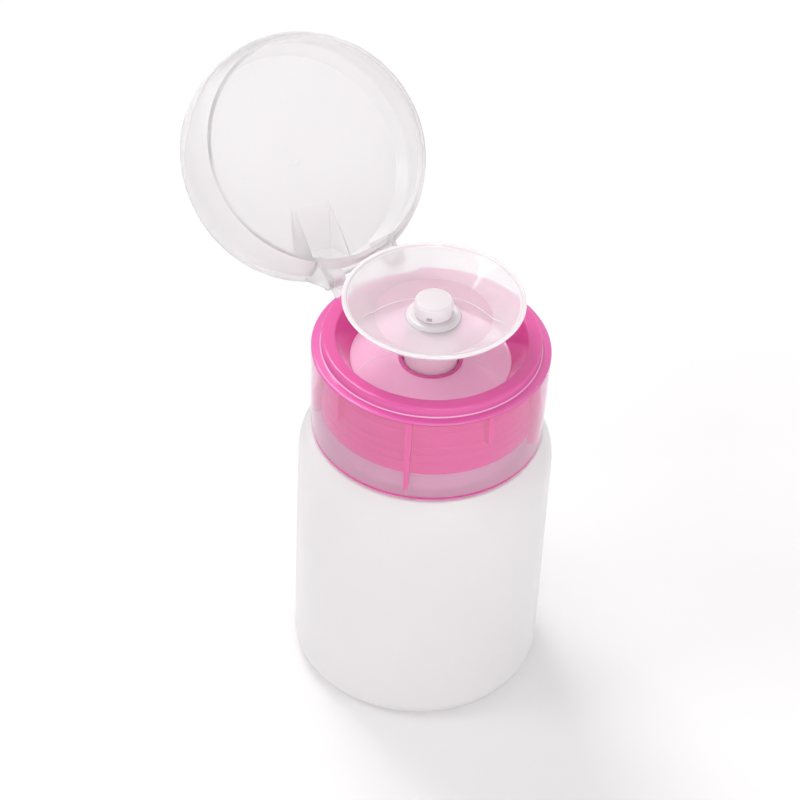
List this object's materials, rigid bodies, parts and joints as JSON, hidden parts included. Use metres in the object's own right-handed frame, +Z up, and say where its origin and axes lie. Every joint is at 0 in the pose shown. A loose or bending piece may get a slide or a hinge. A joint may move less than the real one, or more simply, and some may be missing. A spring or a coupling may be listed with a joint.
{
  "type": "push-top liquid dispenser bottle",
  "caption": "Round frosted bottle with a translucent screw collar, a press-down pump dish with an outlet cap, and a clear domed lid hinged open at the back.",
  "frame": {"origin": "middle of the flat underside of the bottle", "axes": "+Z up along the bottle's axis, +Y toward the lid's hinge, +X along the hinge's axis"},
  "size_m": [0.06, 0.1142, 0.1351],
  "materials": {
    "frosted_shell": "frosted translucent, nearly colourless",
    "pink_plastic": "glossy translucent pink",
    "clear_plastic": "glossy, clear with a faint milky cast",
    "white_plastic": "semi-gloss milky white",
    "soft_plastic": "soft natural polyethylene",
    "gasket_foam": "matt foamed liner",
    "steel": "bright drawn stainless steel"
  },
  "bodies": {
    "bottle": {"bottle": "frosted_shell"},
    "gasket": {"neck_gasket": "gasket_foam"},
    "collar": {"collar": "pink_plastic", "hinge_base": "clear_plastic", "pump_chamber": "white_plastic", "stem_seal": "soft_plastic", "ball_cage": "white_plastic", "dip_tube": "soft_plastic", "return_spring": "steel"},
    "lid": {"lid": "clear_plastic"},
    "press_head": {"dish": "clear_plastic", "outlet_cap": "white_plastic", "stem": "white_plastic", "piston": "soft_plastic", "piston_rod": "white_plastic"},
    "outlet_ball": {"outlet_ball": "steel"},
    "inlet_ball": {"inlet_ball": "steel"}
  },
  "joints": [
    {"name": "collar_lift", "type": "slide", "parent": "bottle", "child": "gasket", "axis": [0, 0, 1], "range_m": [0, 0.00525]},
    {"name": "collar_turn", "type": "hinge", "parent": "gasket", "child": "collar", "pos_m": [0, 0, 0.0859], "axis": [0, 0, 1], "range_deg": [0, 540]},
    {"name": "lid_hinge", "type": "hinge", "parent": "collar", "child": "lid", "pos_m": [0, 0.0307, 0.0946], "axis": [1, 0, 0], "range_deg": [0, 136.3]},
    {"name": "press", "type": "slide", "parent": "collar", "child": "press_head", "axis": [0, 0, -1], "range_m": [0, 0.007], "stiffness_N_per_m": 300, "springref_m": -0.003, "deforming": ["return_spring"]},
    {"name": "outlet_ball_lift", "type": "slide", "parent": "press_head", "child": "outlet_ball", "axis": [0, 0, 1], "range_m": [0, 0.001]},
    {"name": "inlet_ball_lift", "type": "slide", "parent": "collar", "child": "inlet_ball", "axis": [0, 0, 1], "range_m": [0, 0.001]}
  ],
  "couplings": [
    {"joint": "collar_lift", "follows": "collar_turn", "m_per_rad": 0.000557}
  ]
}
